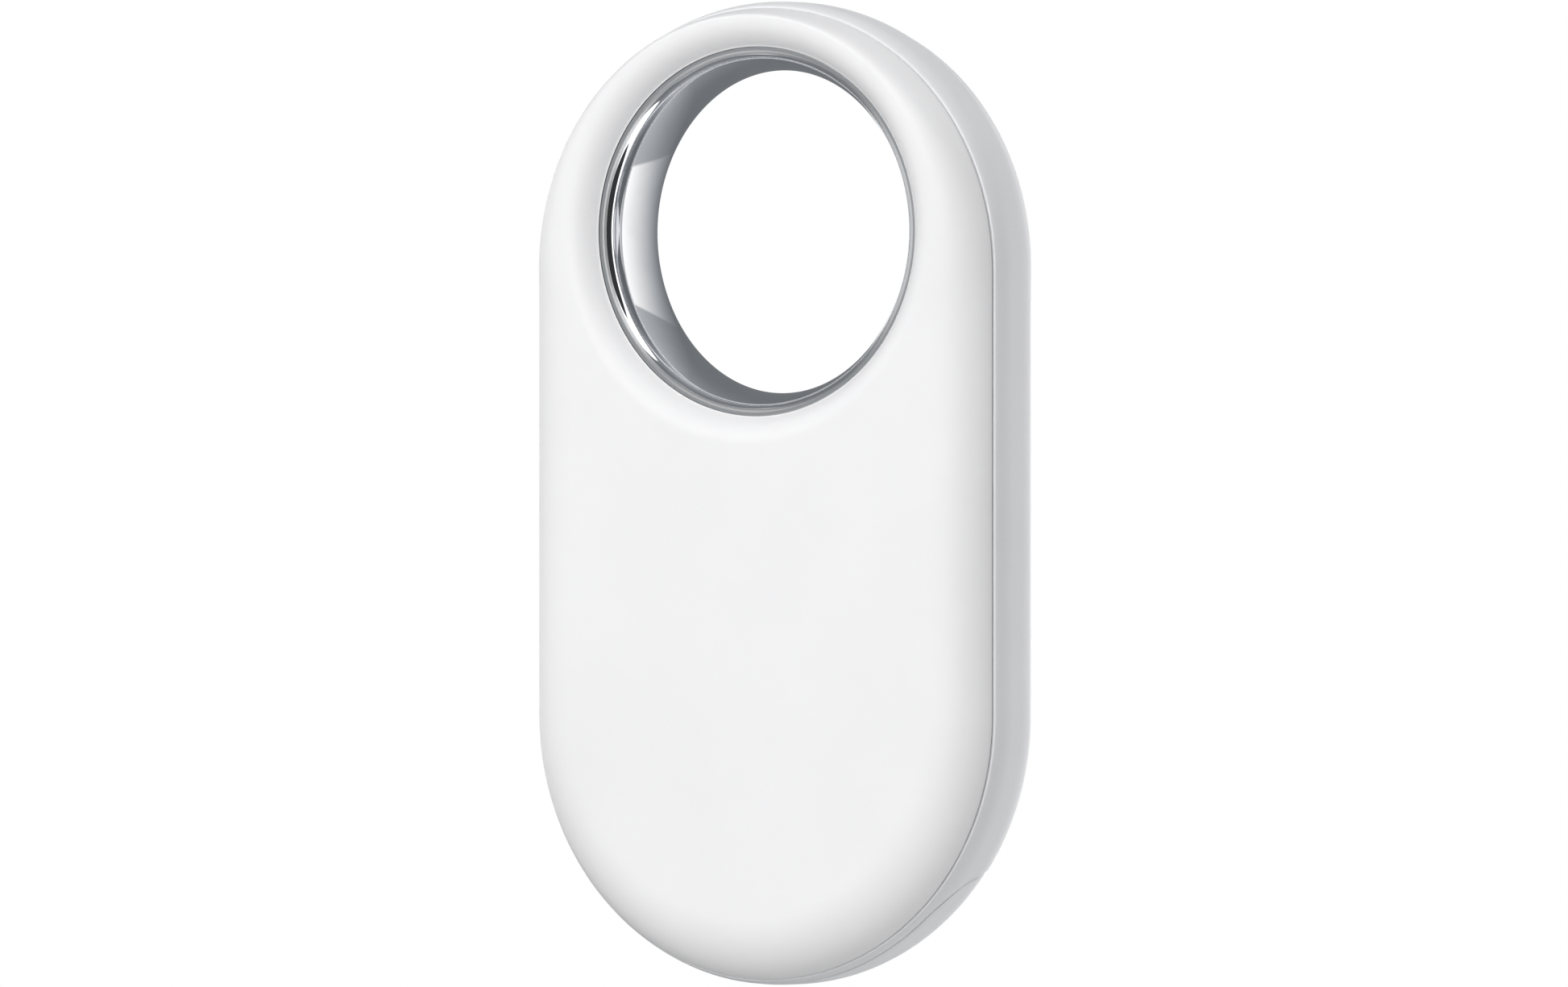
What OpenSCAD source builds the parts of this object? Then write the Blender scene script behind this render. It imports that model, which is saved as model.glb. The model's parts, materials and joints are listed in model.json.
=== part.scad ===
// Bluetooth tracker tag: a flat, stadium-shaped tag with a large metal-lined key ring hole,
// two moulded covers, a slide-out coin cell tray at the bottom end and a pin-hole ejector.
// The tag hangs upright: +Z runs up its length, X across it, and the front face looks along -Y.
// The origin is the centre of the ring hole, halfway through the tag's thickness.

/* [Body] */
// Width of the tag
body_w = 28.8; // [28.4:0.1:30]
// Height of the tag
body_h = 52.44; // [52:0.1:54]
// Thickness of the tag
body_t = 8; // [8:0.1:8.6]
// Height of the tag's top above the ring hole's centre
top_rise = 12.26; // [12.1:0.02:12.5]
// Radius that rolls each face over into the side
edge_r = 3.5; // [3.3:0.05:3.6]
// Thickness of the covers' walls
wall = 1.2; // [1.1:0.05:1.25]
// Thickness of the front cover's face
front_wall = 1.0; // [0.9:0.05:1.05]
// Thickness of the rear cover's face
rear_wall = 0.8; // [0.7:0.05:0.85]
// Depth of the seam's middle behind the front face
seam_depth = 2.09; // [2.05:0.01:2.12]
// Width of the seam, filled by the adhesive gasket
seam_gap = 0.15; // [0.1:0.01:0.16]

/* [Ring] */
// Radius of the clear hole at its waist
waist_r = 8.56; // [8.5:0.02:8.7]
// Radius of the liner's rounded inner profile
liner_roll_r = 4.2; // [4:0.05:4.4]
// Inner radius of the bezels
bezel_in_r = 9.44; // [9.4:0.01:9.5]
// Radius of the hole in the covers that holds the bezels and the liner
ring_seat_r = 9.91; // [9.89:0.01:9.95]
// Radius at which each face starts to dip into the ring
dip_r = 11.4; // [11.3:0.05:11.5]
// Depth of the bezels below the faces
dip_depth = 1.17; // [1.1:0.01:1.25]

/* [Battery tray] */
// Diameter of the coin cell
cell_d = 20; // [19.8:0.1:20]
// Thickness of the coin cell
cell_t = 3.2; // [3:0.1:3.2]
// Half the width of the tray's door
door_half_w = 11.54; // [11.5:0.01:11.56]
// Half the thickness of the tray's door
door_half_t = 2.15; // [2.1:0.01:2.17]
// Gap between the door and its opening, on each side
door_gap = 0.05; // [0.04:0.01:0.08]
// Radius of the eject pin's hole
pin_hole_r = 0.45; // [0.42:0.01:0.47]

/* [Button] */
// Travel of the button's pad behind the flexible face
button_travel = 0.2; // [0.15:0.01:0.2]
// Radius of the thinned face over the button
button_r = 5.2; // [4.8:0.1:5.4]

/* [Hidden] */
$fn = 96;
eps = 0.01;

// Colours
shell_white = [0.93, 0.93, 0.93];
part_grey = [0.75, 0.76, 0.77];
dark_grey = [0.2, 0.2, 0.21];
steel = [0.78, 0.78, 0.8];
nickel = [0.7, 0.7, 0.68];
board_green = [0.1, 0.3, 0.2];
copper = [0.8, 0.5, 0.3];
brass = [0.85, 0.7, 0.35];

// Outline: two round ends joined by straight sides
body_r = body_w / 2;
top_z = top_rise - body_r;
low_z = top_rise - body_h + body_r;
front_y = -body_t / 2;
rear_y = body_t / 2;
bottom_z = low_z - body_r;

// Seam
seam_y = front_y + seam_depth;
seam_front_y = seam_y - seam_gap / 2;
seam_rear_y = seam_y + seam_gap / 2;

// Inside of the covers
inner_r = body_r - wall;
inner_front_y = front_y + front_wall;
inner_rear_y = rear_y - rear_wall;
inner_edge_r = edge_r - 1.1;
collar_r = ring_seat_r + 1;
cavity_top_z = 8;

// Roll of the dip from each face into the ring: through (dip_r, 0) and (ring_seat_r, dip_depth)
dip_w = dip_r - ring_seat_r;
dip_roll_r = (dip_w * dip_w + dip_depth * dip_depth) / (2 * dip_depth);

// Liner and bezels
liner_out_r = ring_seat_r - 0.03;
roll_centre_r = waist_r - 0.03 + liner_roll_r;
bezel_out_r = ring_seat_r - 0.07;
bezel_front_y = front_y + dip_depth - 0.01;
bezel_back_y = bezel_front_y + 0.56;
liner_lip_y = bezel_front_y + 0.34;

// Cell and tray
cell_x = 0.6;
cell_z = -24.2;
cell_r = cell_d / 2;
cell_front_y = -0.6;
cell_back_y = cell_front_y + cell_t;
pocket_r = cell_r + 0.1;
tray_back_y = 2.75;
tray_left_x = -9.95;
tray_right_x = 11.5;
tray_wall = 0.8;
tray_top_r = pocket_r + tray_wall;
pocket_floor_y = cell_front_y - 0.05;
door_y = 1;
door_inset = 0.15;
neck_top_z = -32;
throat_z = neck_top_z + 0.1;
opening_half_w = door_half_w + door_gap;
opening_half_t = door_half_t + door_gap;
seal_low_z = -33.4;
seal_high_z = -32.6;
seal_depth = 0.3;

// Ejector
rod_x = -10.5;
rod_y = 1;
rod_half_w = 0.45;
rod_low_z = -31.2;
rod_high_z = -15.5;
lever_t = 0.8;
lever_y = rod_y - lever_t / 2;
pivot_x = -8.3;
pivot_z = -14.6;
pivot_r = 0.5;
lever_tip_r = 0.45;
push_x = -5.5;
push_z = -14.35;
rod_tip_z = rod_high_z + 0.05 + lever_tip_r;
lug_top_z = push_z - lever_tip_r - 0.1;

// Board
board_front_y = -1.85;
board_back_y = -1.25;
board_r = inner_r - 0.65;
board_ring_r = collar_r + 0.34;
board_low_z = -31.6;
board_high_z = -4;

// Frame
frame_front_y = board_back_y + 0.05;
frame_back_y = 1.9;
frame_r = inner_r - 0.35;
frame_ring_r = collar_r + 0.14;
frame_low_z = throat_z + 0.1;
frame_high_z = 4.5;
stake_r = 0.5;
stake_gap = 0.08;
stake_places = [[-12, -22], [12.25, -19.5], [-3.6, -12.25]];

// Button
button_z = low_z;
thin_face_y = front_y + 0.6;
pad_r = button_r - 0.6;
pad_back_y = inner_front_y;
switch_w = 3.6;
switch_front_y = board_front_y - 0.5;
hub_tip_y = switch_front_y - button_travel - 0.02;

// ---- Helpers ----

module rect(x0, y0, x1, y1) {
    translate([x0, y0]) square([x1 - x0, y1 - y0]);
}

// A 2D shape drawn in X and Z, made solid between two depths
module slab(y0, y1) {
    translate([0, y1, 0]) rotate([90, 0, 0]) linear_extrude(y1 - y0) children();
}

// A 2D shape drawn in radius and Y, turned about the Y axis
module turned() {
    rotate([-90, 0, 0]) rotate_extrude() children();
}

module box(x0, y0, z0, x1, y1, z1) {
    translate([x0, y0, z0]) cube([x1 - x0, y1 - y0, z1 - z0]);
}

// The tag's outline in X and Z
module outline(r) {
    translate([0, top_z]) circle(r = r);
    translate([0, low_z]) circle(r = r);
    rect(-r, low_z, r, top_z);
}

// Half of the tag's cross-section, in X and Y, with both outer corners rolled
module section(r, y0, y1, roll) {
    rect(0, y0, r - roll, y1);
    rect(0, y0 + roll, r, y1 - roll);
    for (y = [y0 + roll, y1 - roll])
        translate([r - roll, y]) circle(r = roll);
}

// The tag's outline with a rolled edge: a half turn at each end and a straight middle
module rolled_stadium(r, y0, y1, roll) {
    translate([0, 0, top_z]) rotate([90, 0, 0]) mirror([0, 0, 1])
        rotate_extrude(angle = 180) section(r, y0, y1, roll);
    translate([0, 0, low_z]) rotate([-90, 0, 0])
        rotate_extrude(angle = 180) section(r, y0, y1, roll);
    translate([0, 0, low_z]) linear_extrude(top_z - low_z) {
        section(r, y0, y1, roll);
        mirror([1, 0]) section(r, y0, y1, roll);
    }
}

// The hollow that both covers share, around the ring's collar
module cavity() {
    difference() {
        rolled_stadium(inner_r, inner_front_y, inner_rear_y, inner_edge_r);
        turned() rect(0, front_y, collar_r, rear_y);
        box(-body_w, front_y, cavity_top_z, body_w, rear_y, body_h);
    }
}

// The dip that takes the front face down into the ring
module front_dip() {
    turned() difference() {
        rect(0, front_y - 1, dip_r, front_y + dip_roll_r);
        translate([dip_r, front_y + dip_roll_r]) circle(r = dip_roll_r);
    }
}

module ring_seat() {
    turned() rect(0, -body_t, ring_seat_r, body_t);
}

// A pill-shaped prism along Z, the form of the tray's door
module pill(half_w, half_t, z0, z1) {
    translate([0, door_y, z0]) linear_extrude(z1 - z0) {
        rect(-half_w + half_t, -half_t, half_w - half_t, half_t);
        for (side = [-1, 1])
            translate([side * (half_w - half_t), 0]) circle(r = half_t);
    }
}

// A bent strip: points along its middle, thickened to both sides
function unit_at(path, i) =
    let (a = path[max(i - 1, 0)], b = path[min(i + 1, len(path) - 1)], d = b - a)
    d / norm(d);
function side_of(path, t) =
    [for (i = [0:len(path) - 1]) let (u = unit_at(path, i)) path[i] + t * [-u[1], u[0]]];
function backwards(list) = [for (i = [len(list) - 1:-1:0]) list[i]];
module strip(path, t) {
    polygon(concat(side_of(path, t / 2), backwards(side_of(path, -t / 2))));
}

// ---- Covers and ring ----

module front_cover() color(shell_white) difference() {
    rolled_stadium(body_r, front_y, rear_y, edge_r);
    box(-body_w, seam_front_y, -body_h, body_w, body_t, body_h);
    cavity();
    front_dip();
    ring_seat();
    translate([0, 0, button_z]) turned() rect(0, thin_face_y, button_r, 0);
}

module rear_cover() color(shell_white) difference() {
    rolled_stadium(body_r, front_y, rear_y, edge_r);
    box(-body_w, -body_t, -body_h, body_w, seam_rear_y, body_h);
    difference() {
        cavity();
        box(-body_w, front_y, -body_h, body_w, rear_y, throat_z);
    }
    mirror([0, 1, 0]) front_dip();
    ring_seat();
    pill(opening_half_w, opening_half_t, bottom_z - 1, throat_z + 1);
}

module adhesive_gasket() color(dark_grey) slab(seam_front_y, seam_rear_y) difference() {
    outline(body_r - 0.55);
    difference() {
        outline(inner_r - 0.2);
        circle(r = collar_r - 0.1);
        rect(-body_w, cavity_top_z - 0.2, body_w, body_h);
    }
    circle(r = ring_seat_r + 0.14);
}

// A bezel's section: a shallow slope, then a chamfer down to the liner
module front_bezel() color(part_grey) turned() polygon([
    [bezel_out_r, bezel_back_y],
    [bezel_out_r, bezel_front_y + 0.04],
    [bezel_out_r - 0.06, bezel_front_y],
    [bezel_in_r + 0.12, bezel_front_y + 0.06],
    [bezel_in_r, bezel_front_y + 0.2],
    [bezel_in_r, bezel_back_y]
]);

module rear_bezel() color(part_grey) mirror([0, 1, 0]) front_bezel();

// The polished liner: a rolled waist with a short straight land, and a lip inside each bezel
module ring_liner() color(steel) turned() difference() {
    rect(waist_r, liner_lip_y, liner_out_r, -liner_lip_y);
    translate([roll_centre_r, 0]) difference() {
        rect(-liner_roll_r - 1, -body_t, 0, body_t);
        circle(r = liner_roll_r);
    }
    rect(bezel_in_r - 0.02, -body_t, body_r, bezel_back_y);
    rect(bezel_in_r - 0.02, -bezel_back_y, body_r, body_t);
}

// ---- Frame, board and electronics ----

module stakes(r, y0, y1) {
    for (p = stake_places)
        translate([p[0], 0, p[1]]) turned() rect(0, y0, r, y1);
}

// The space that the tray takes as it slides out
module tray_bay() {
    translate([cell_x, cell_z]) intersection() {
        circle(r = tray_top_r + 0.1);
        rect(tray_left_x - 0.1 - cell_x, 0, tray_right_x + 0.1 - cell_x, body_h);
    }
    rect(tray_left_x - 0.1, -body_h, tray_right_x + 0.1, cell_z);
}

module inner_frame() color(dark_grey) {
    difference() {
        slab(frame_front_y, frame_back_y) difference() {
            intersection() {
                outline(frame_r);
                rect(-body_w, frame_low_z, body_w, frame_high_z);
            }
            circle(r = frame_ring_r);
            tray_bay();
        }
        // Channel of the eject rod, open to the bay
        box(rod_x - rod_half_w - 0.05, rod_y - rod_half_w - 0.05, -body_h,
            tray_left_x, rod_y + rod_half_w + 0.05, -13.2);
        // Pocket in which the lever swings
        box(-11.4, lever_y - 0.1, -16, -4.3, body_t, -12.6);
        box(push_x - 1.1, -body_t, -16, push_x + 1.1, body_t, lug_top_z + 0.15);
        translate([pivot_x, 0, pivot_z]) turned() rect(0, -body_t, pivot_r, body_t);
        // Windows for the positive contact and the detent spring
        box(cell_x - 1.2, -body_t, -14, cell_x + 1.2, 1.55, -11);
        box(tray_right_x - 1, -0.2, -26.6, 12.6, body_t, -16.2);
    }
    stakes(stake_r, board_front_y - 0.02, frame_front_y);
    stakes(stake_r + 0.25, board_front_y - 0.17, board_front_y - 0.02);
}

module main_board() color(board_green) difference() {
    slab(board_front_y, board_back_y) difference() {
        intersection() {
            outline(board_r);
            rect(-body_w, board_low_z, body_w, board_high_z);
        }
        circle(r = board_ring_r);
    }
    stakes(stake_r + stake_gap, -body_t, body_t);
}

shield_box = [-8.2, -17.4, 8.2, -13.2];
module shield_can() color(nickel) difference() {
    box(shield_box[0], board_front_y - 0.9, shield_box[1], shield_box[2], board_front_y, shield_box[3]);
    box(shield_box[0] + 0.15, board_front_y - 0.75, shield_box[1] + 0.15,
        shield_box[2] - 0.15, board_front_y + 1, shield_box[3] - 0.15);
}

// A chip that stands on the board: centre, widths along X and Z, and height
module chip(x, z, w, l, h) {
    box(x - w / 2, board_front_y - h, z - l / 2, x + w / 2, board_front_y, z + l / 2);
}

module radio_chip() color(dark_grey) chip(-4.6, -15.3, 3.4, 3.4, 0.5);
module uwb_chip() color(dark_grey) chip(4.2, -15.3, 3.6, 3.4, 0.45);
module crystal() color(nickel) chip(-6.9, -20.2, 2, 1.6, 0.45);

module chip_parts() color(brass) {
    for (i = [0:4]) {
        chip(-7.5 + 1.5 * i, -30.6, 0.5, 1, 0.3);
        chip(2.2 + 1.5 * i, -30.6, 0.5, 1, 0.3);
    }
    for (i = [0:3])
        chip(7.6, -19.2 - 1.4 * i, 1, 0.5, 0.3);
}

module tact_switch() color(dark_grey) difference() {
    chip(0, button_z, switch_w, switch_w, 0.5);
    translate([0, 0, button_z]) turned() rect(0, switch_front_y - 1, 1.35, switch_front_y + 0.2);
}

// A snap dome in the switch's well
module switch_dome() color(steel) translate([0, 0, button_z]) turned() difference() {
    intersection() {
        translate([0, switch_front_y + 2.8]) circle(r = 2.95);
        rect(0, switch_front_y - 1, 1.25, switch_front_y + 0.2);
    }
    translate([0, switch_front_y + 2.8]) circle(r = 2.83);
}

// A stiff pad under the thinned face, with a hub that presses the dome
module button_pad() color(part_grey) translate([0, 0, button_z]) turned() {
    rect(0, thin_face_y, pad_r, pad_back_y);
    rect(0, thin_face_y, 1, hub_tip_y);
}

coil_turns = 6;
coil_in_r = button_r + 0.5;
coil_pitch = 0.4;
coil_y = inner_front_y + 0.08;
module nfc_coil() color(copper) translate([0, 0, button_z]) turned() {
    rect(coil_in_r, inner_front_y, coil_in_r + coil_turns * coil_pitch, coil_y - 0.04);
    for (i = [0:coil_turns - 1])
        rect(coil_in_r + 0.05 + i * coil_pitch, inner_front_y,
            coil_in_r + 0.3 + i * coil_pitch, coil_y);
}

module ferrite_sheet() color(dark_grey) translate([0, 0, button_z]) turned()
    rect(coil_in_r, coil_y, coil_in_r + coil_turns * coil_pitch, coil_y + 0.1);

module uwb_antenna() color(copper) slab(inner_front_y, inner_front_y + 0.12) difference() {
    rect(-5.5, -16.9, 5.5, -13.5);
    rect(-0.5, -17, 0.5, -14.3);
}

// A flat strip on the frame's arm beside the ring
module ble_antenna() color(copper) slab(frame_front_y - 0.1, frame_front_y) intersection() {
    difference() {
        circle(r = frame_ring_r + 1.15);
        circle(r = frame_ring_r + 0.15);
    }
    rect(-body_w, board_high_z + 0.3, 0, frame_high_z - 0.3);
}

contact_w = 1.8;
contact_t = 0.12;
module contact(path) {
    translate([cell_x - contact_w / 2, 0, 0]) rotate([90, 0, 90]) linear_extrude(contact_w)
        strip(path, contact_t);
}

// A bowed leaf from the board's back to the middle of the cell's cap, in Y and Z
module negative_contact() color(brass) contact([
    [board_back_y + contact_t / 2, -18.4], [board_back_y + contact_t / 2, -20.4],
    [-1.02, -21.2], [-0.76, -22.6], [-0.685, -23.6], [-0.685, -24.4], [-0.8, -25.2]
]);

// A hooked leaf from the board's back to the rim of the cell's can, in Y and Z
module positive_contact() color(brass) contact([
    [board_back_y + contact_t / 2, -11.45], [board_back_y + contact_t / 2, -12.5],
    [-1.08, -12.9], [-0.6, -13.1], [0.1, -13.5], [0.55, -14.02], [0.85, -14.02], [1.2, -13.5]
]);

module piezo_plate() color(brass) translate([cell_x, 0, -22.4]) turned()
    rect(0, inner_rear_y - 0.15, 9, inner_rear_y);

module piezo_ceramic() color(shell_white) translate([cell_x, 0, -22.4]) turned()
    rect(0, inner_rear_y - 0.3, 6.5, inner_rear_y - 0.15);

// ---- Battery tray and cell ----

module tray_solid() intersection() {
    // All of it passes through the door's own opening
    pill(door_half_w, door_half_t, bottom_z - 1, 0);
    union() {
        // Door and neck, cut from the tag's own form a little below its surface
        difference() {
            rolled_stadium(body_r - door_inset, front_y + door_inset, rear_y - door_inset,
                edge_r - door_inset);
            box(-body_w, -body_t, neck_top_z, body_w, body_t, body_h);
        }
        slab(-body_t, tray_back_y) {
            rect(tray_left_x, neck_top_z - 0.5, tray_right_x, cell_z);
            translate([cell_x, cell_z]) intersection() {
                circle(r = tray_top_r);
                rect(tray_left_x - cell_x, 0, tray_right_x - cell_x, body_h);
            }
            rect(push_x - 0.8, -18, push_x + 0.8, lug_top_z);
        }
    }
}

module battery_tray() color(shell_white) difference() {
    tray_solid();
    // Cell pocket, open to the rear, with a window through its floor
    translate([cell_x, 0, cell_z]) turned() rect(0, pocket_floor_y, pocket_r, tray_back_y);
    translate([cell_x, 0, cell_z]) turned() rect(0, -body_t, 7.5, 0);
    box(cell_x - 1.8, -body_t, -20, cell_x + 1.8, pocket_floor_y + eps, 0);
    box(cell_x - 1.2, -body_t, -16, cell_x + 1.2, 1.6, 0);
    // The lug is only as thick as the lever needs
    box(push_x - 1, -body_t, -15.2, push_x + 1, rod_y - 0.8, 0);
    box(push_x - 1, rod_y + 0.8, -15.2, push_x + 1, body_t, 0);
    // Seal groove
    difference() {
        pill(door_half_w + 1, door_half_t + 1, seal_low_z, seal_high_z);
        pill(door_half_w - seal_depth, door_half_t - seal_depth, seal_low_z - 1, seal_high_z + 1);
    }
    // Eject pin hole, right through the neck
    translate([rod_x, rod_y, bottom_z]) cylinder(r = pin_hole_r, h = body_h);
    // Notch for the detent spring
    slab(-body_t, body_t) polygon([
        [tray_right_x - 0.3, -22], [tray_right_x + 1, -23.4], [tray_right_x + 1, -20.6]
    ]);
}

// A pill-shaped ring with two lips
module tray_seal() color(dark_grey) {
    for (lip = [[0.02, 0.78, -0.1], [0.1, 0.3, 0.015], [0.5, 0.7, 0.015]])
        difference() {
            pill(door_half_w + lip[2], door_half_t + lip[2], seal_low_z + lip[0], seal_low_z + lip[1]);
            pill(door_half_w - seal_depth, door_half_t - seal_depth, seal_low_z - 1, seal_high_z + 1);
        }
}

module on_cell() {
    translate([cell_x, 0, cell_z]) turned() children();
}

// The cell's positive can: a cup open to the front, with its rim turned in
module cell_can() color(steel) on_cell() difference() {
    union() {
        rect(0, cell_front_y + 0.5, cell_r, cell_back_y - 0.3);
        rect(0, cell_front_y + 0.5, cell_r - 0.3, cell_back_y);
        translate([cell_r - 0.3, cell_back_y - 0.3]) circle(r = 0.3);
        rect(0, cell_front_y + 0.15, cell_r - 0.35, cell_front_y + 0.6);
        translate([cell_r - 0.35, cell_front_y + 0.5]) circle(r = 0.35);
    }
    rect(0, cell_front_y, cell_r - 0.25, cell_back_y - 0.25);
    rect(0, cell_front_y - 1, cell_r - 0.9, cell_front_y + 1);
}

module cell_grommet() color(dark_grey) on_cell() difference() {
    rect(cell_r - 1.15, cell_front_y + 0.3, cell_r - 0.25, cell_back_y - 0.25);
    rect(0, cell_front_y, cell_r - 0.75, cell_back_y - 0.5);
}

// The negative cap, with the cell's sealed contents as one solid behind it
module cell_cap() color(steel) on_cell() {
    rect(0, cell_front_y, cell_r - 1.5, cell_front_y + 0.5);
    rect(0, cell_front_y + 0.3, cell_r - 1.15, cell_back_y - 0.5);
    rect(0, cell_front_y + 0.5, cell_r - 1.3, cell_back_y - 0.25);
}

// ---- Ejector ----

// A stamped push rod beside the tray
module eject_rod() color(steel)
    box(rod_x - rod_half_w, rod_y - rod_half_w, rod_low_z,
        rod_x + rod_half_w, rod_y + rod_half_w, rod_high_z);

// A flat lever: a round boss with an arm over the rod and an arm over the tray's lug
module eject_lever() color(steel) slab(lever_y, lever_y + lever_t) difference() {
    union() {
        translate([pivot_x, pivot_z]) circle(r = 0.95);
        translate([rod_x, rod_tip_z]) circle(r = lever_tip_r);
        translate([push_x, push_z]) circle(r = lever_tip_r);
        polygon([
            [rod_x, rod_tip_z - 0.1], [pivot_x, pivot_z - 0.6],
            [push_x, push_z - lever_tip_r], [push_x, push_z + lever_tip_r],
            [pivot_x, pivot_z + 0.9], [rod_x, rod_tip_z + lever_tip_r]
        ]);
    }
    translate([pivot_x, pivot_z]) circle(r = pivot_r + 0.05);
}

module lever_pivot() color(steel) translate([pivot_x, 0, pivot_z]) turned() {
    rect(0, frame_front_y, pivot_r, lever_y + lever_t + 0.1);
    rect(0, lever_y + lever_t + 0.1, pivot_r + 0.3, lever_y + lever_t + 0.3);
}

// A leaf whose bump rests in the tray's notch, in X and Z
module detent_spring() color(steel) slab(0, 1.6) strip([
    [12.4, -16.6], [12.35, -18], [12.05, -19.6], [11.62, -21.2], [11.36, -21.8],
    [11.36, -22.2], [11.62, -22.8], [12.05, -24.2], [12.2, -25.4], [12.1, -26]
], 0.15);

front_cover();
rear_cover();
adhesive_gasket();
front_bezel();
rear_bezel();
ring_liner();
inner_frame();
main_board();
shield_can();
radio_chip();
uwb_chip();
crystal();
chip_parts();
tact_switch();
switch_dome();
button_pad();
nfc_coil();
ferrite_sheet();
uwb_antenna();
ble_antenna();
negative_contact();
positive_contact();
piezo_plate();
piezo_ceramic();
battery_tray();
tray_seal();
cell_can();
cell_cap();
cell_grommet();
eject_rod();
eject_lever();
lever_pivot();
detent_spring();
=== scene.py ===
import json
import math

import bmesh
import bpy
from mathutils import Matrix, Vector

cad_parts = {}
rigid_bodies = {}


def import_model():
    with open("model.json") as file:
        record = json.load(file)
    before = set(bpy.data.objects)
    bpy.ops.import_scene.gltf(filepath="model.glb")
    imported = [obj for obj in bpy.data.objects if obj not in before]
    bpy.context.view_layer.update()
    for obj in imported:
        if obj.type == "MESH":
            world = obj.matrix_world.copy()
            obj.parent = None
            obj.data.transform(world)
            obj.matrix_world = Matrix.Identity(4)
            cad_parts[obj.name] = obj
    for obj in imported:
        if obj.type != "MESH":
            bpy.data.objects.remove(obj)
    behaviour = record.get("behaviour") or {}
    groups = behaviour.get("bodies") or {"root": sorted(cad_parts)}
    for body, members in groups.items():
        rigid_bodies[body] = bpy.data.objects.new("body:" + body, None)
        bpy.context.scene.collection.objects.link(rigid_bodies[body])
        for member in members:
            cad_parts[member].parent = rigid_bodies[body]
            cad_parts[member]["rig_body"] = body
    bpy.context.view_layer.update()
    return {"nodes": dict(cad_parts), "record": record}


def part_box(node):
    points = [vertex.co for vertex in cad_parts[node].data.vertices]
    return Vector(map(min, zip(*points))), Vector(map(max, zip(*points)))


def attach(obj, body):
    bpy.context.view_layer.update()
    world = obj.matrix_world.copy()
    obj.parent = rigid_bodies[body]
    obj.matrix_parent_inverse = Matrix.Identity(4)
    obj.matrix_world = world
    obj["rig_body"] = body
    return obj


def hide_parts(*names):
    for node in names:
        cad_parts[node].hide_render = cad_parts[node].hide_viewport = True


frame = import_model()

scene = bpy.context.scene

# Pieces are modelled in millimetres and scaled to metres when they are finished.
MM = 0.001


def box_mm(node):
    """The low and high corner of a CAD node's box, in millimetres."""
    low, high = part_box(node)
    return low / MM, high / MM


# ---- Sizes in millimetres: the boxes come from the frame ----

front_low, front_high = box_mm("front_cover")
rear_low, rear_high = box_mm("rear_cover")
pad_low, pad_high = box_mm("button_pad")
_, liner_high = box_mm("ring_liner")
bezel_low, bezel_high = box_mm("front_bezel")
can_low, can_high = box_mm("cell_can")
rod_low, rod_high = box_mm("eject_rod")

# The outline is two half circles with straight sides; the ring's centre is at X = Z = 0
BODY_R = rear_high.x
TOP_RISE = 12.26
TOP_SPINE = TOP_RISE - BODY_R
LOW_SPINE = (pad_low.z + pad_high.z) / 2
FRONT_Y = front_low.y
REAR_Y = rear_high.y
THICKNESS = REAR_Y - FRONT_Y
# How far the seam lies below each cover's own face
FRONT_SEAM = front_high.y - FRONT_Y
REAR_SEAM = REAR_Y - rear_low.y

# The covers' shells: rolled edges outside and inside, and the room's depth below each face
EDGE_ROLL = 3.5
WALL = 1.2
INNER_ROLL = 2.4
FRONT_CEILING = 1.0
REAR_CEILING = 0.8
FAR_WALL = 1.0
LIP = 0.06
# The thinner face over the button: how far it reaches past the pad, and where it ends
FLEX_REACH = 0.6
FLEX_DEPTH = 1.2

# The ring's seat in the covers, the collar round it and the dip down to it
SEAT_R = liner_high.x + 0.03
COLLAR_R = SEAT_R + 1
DIP_R = 11.4
DIP_POWER = 2.2
FOOT_R = SEAT_R - 0.07
FOOT_DEPTH = 1.13
FOOT_SOFT = 0.06
# The ridge between the edge's roll and the dip: how it narrows and sinks where they meet
RIDGE_DEPTH = 0.12
RIDGE_PULL = 0.08
RIDGE_FLAT = 0.08
RIDGE_SOFT = 0.25
FULL_SQUEEZE = 2.6
SQUEEZED_LEAN = 0.6
FACE_EDGE = 0.06

# The bezels, and the liner's half outline from its waist to its lip
BEZEL_OUT_R = bezel_high.x
BEZEL_INNER_R = SEAT_R - 0.47
WAIST_R = 8.58
LINER_ROLL = 5.35
LINER_REACH = 2.44
LINER_LIP_ROLL = 0.6
LINER_LIP_LEAN = math.radians(65)

# The tray's door, its neck behind it with the seal's groove, and the eject pin's hole
DOOR_HALF_W = 11.54
DOOR_HALF_T = 2.15
DOOR_Y = 1.0
DOOR_GAP = 0.14
DOOR_INSET = 0.05
NECK_GROW = 0.11
NECK_TOP = -32.0
THROAT_TOP = NECK_TOP + 0.1
SEAL_LOW = -33.4
SEAL_HIGH = -32.6
SEAL_DEPTH = 0.3
PIN_X = (rod_low.x + rod_high.x) / 2
PIN_HOLE_R = 0.45
TRAY_SOFT = 0.06

CELL_AT = ((can_low.x + can_high.x) / 2, (can_low.z + can_high.z) / 2)
CELL_R = (can_high.x - can_low.x) / 2

# How finely the forms are divided
ARC_STEPS = 96
SIDE_STEPS = 44
ROLL_STEPS = 28
RING_STEPS = 256


# ---- Shader nodes ----


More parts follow.
